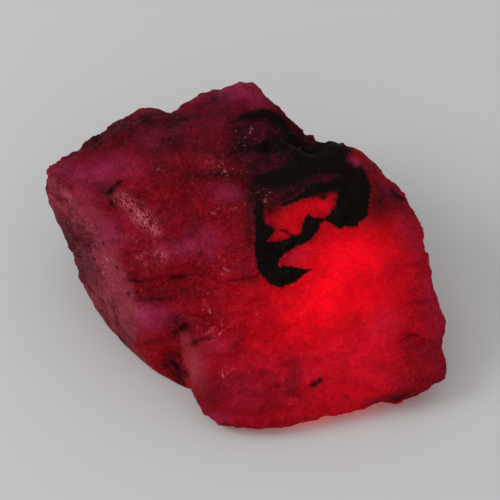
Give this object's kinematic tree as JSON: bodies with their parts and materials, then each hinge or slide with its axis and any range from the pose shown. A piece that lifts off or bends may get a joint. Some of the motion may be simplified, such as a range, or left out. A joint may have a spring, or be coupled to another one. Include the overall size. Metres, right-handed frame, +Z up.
{
  "type": "rough ruby",
  "caption": "Uncut red corundum crystal lump with flat parting faces, ledges, cracks and dark matrix, resting on a flat fracture.",
  "frame": {"origin": "under the middle of the stone, on the surface that it rests on", "axes": "+Z up, +X along the stone to the right, +Y away from the side that faces the viewer"},
  "size_m": [0.046, 0.036, 0.0204],
  "materials": {
    "ruby": "cloudy broken crystal, satin with small bright cleavage glints, dark matrix stains and a warm red glow through the thin side"
  },
  "bodies": {
    "root": {"rough_ruby": "ruby"}
  },
  "joints": []
}
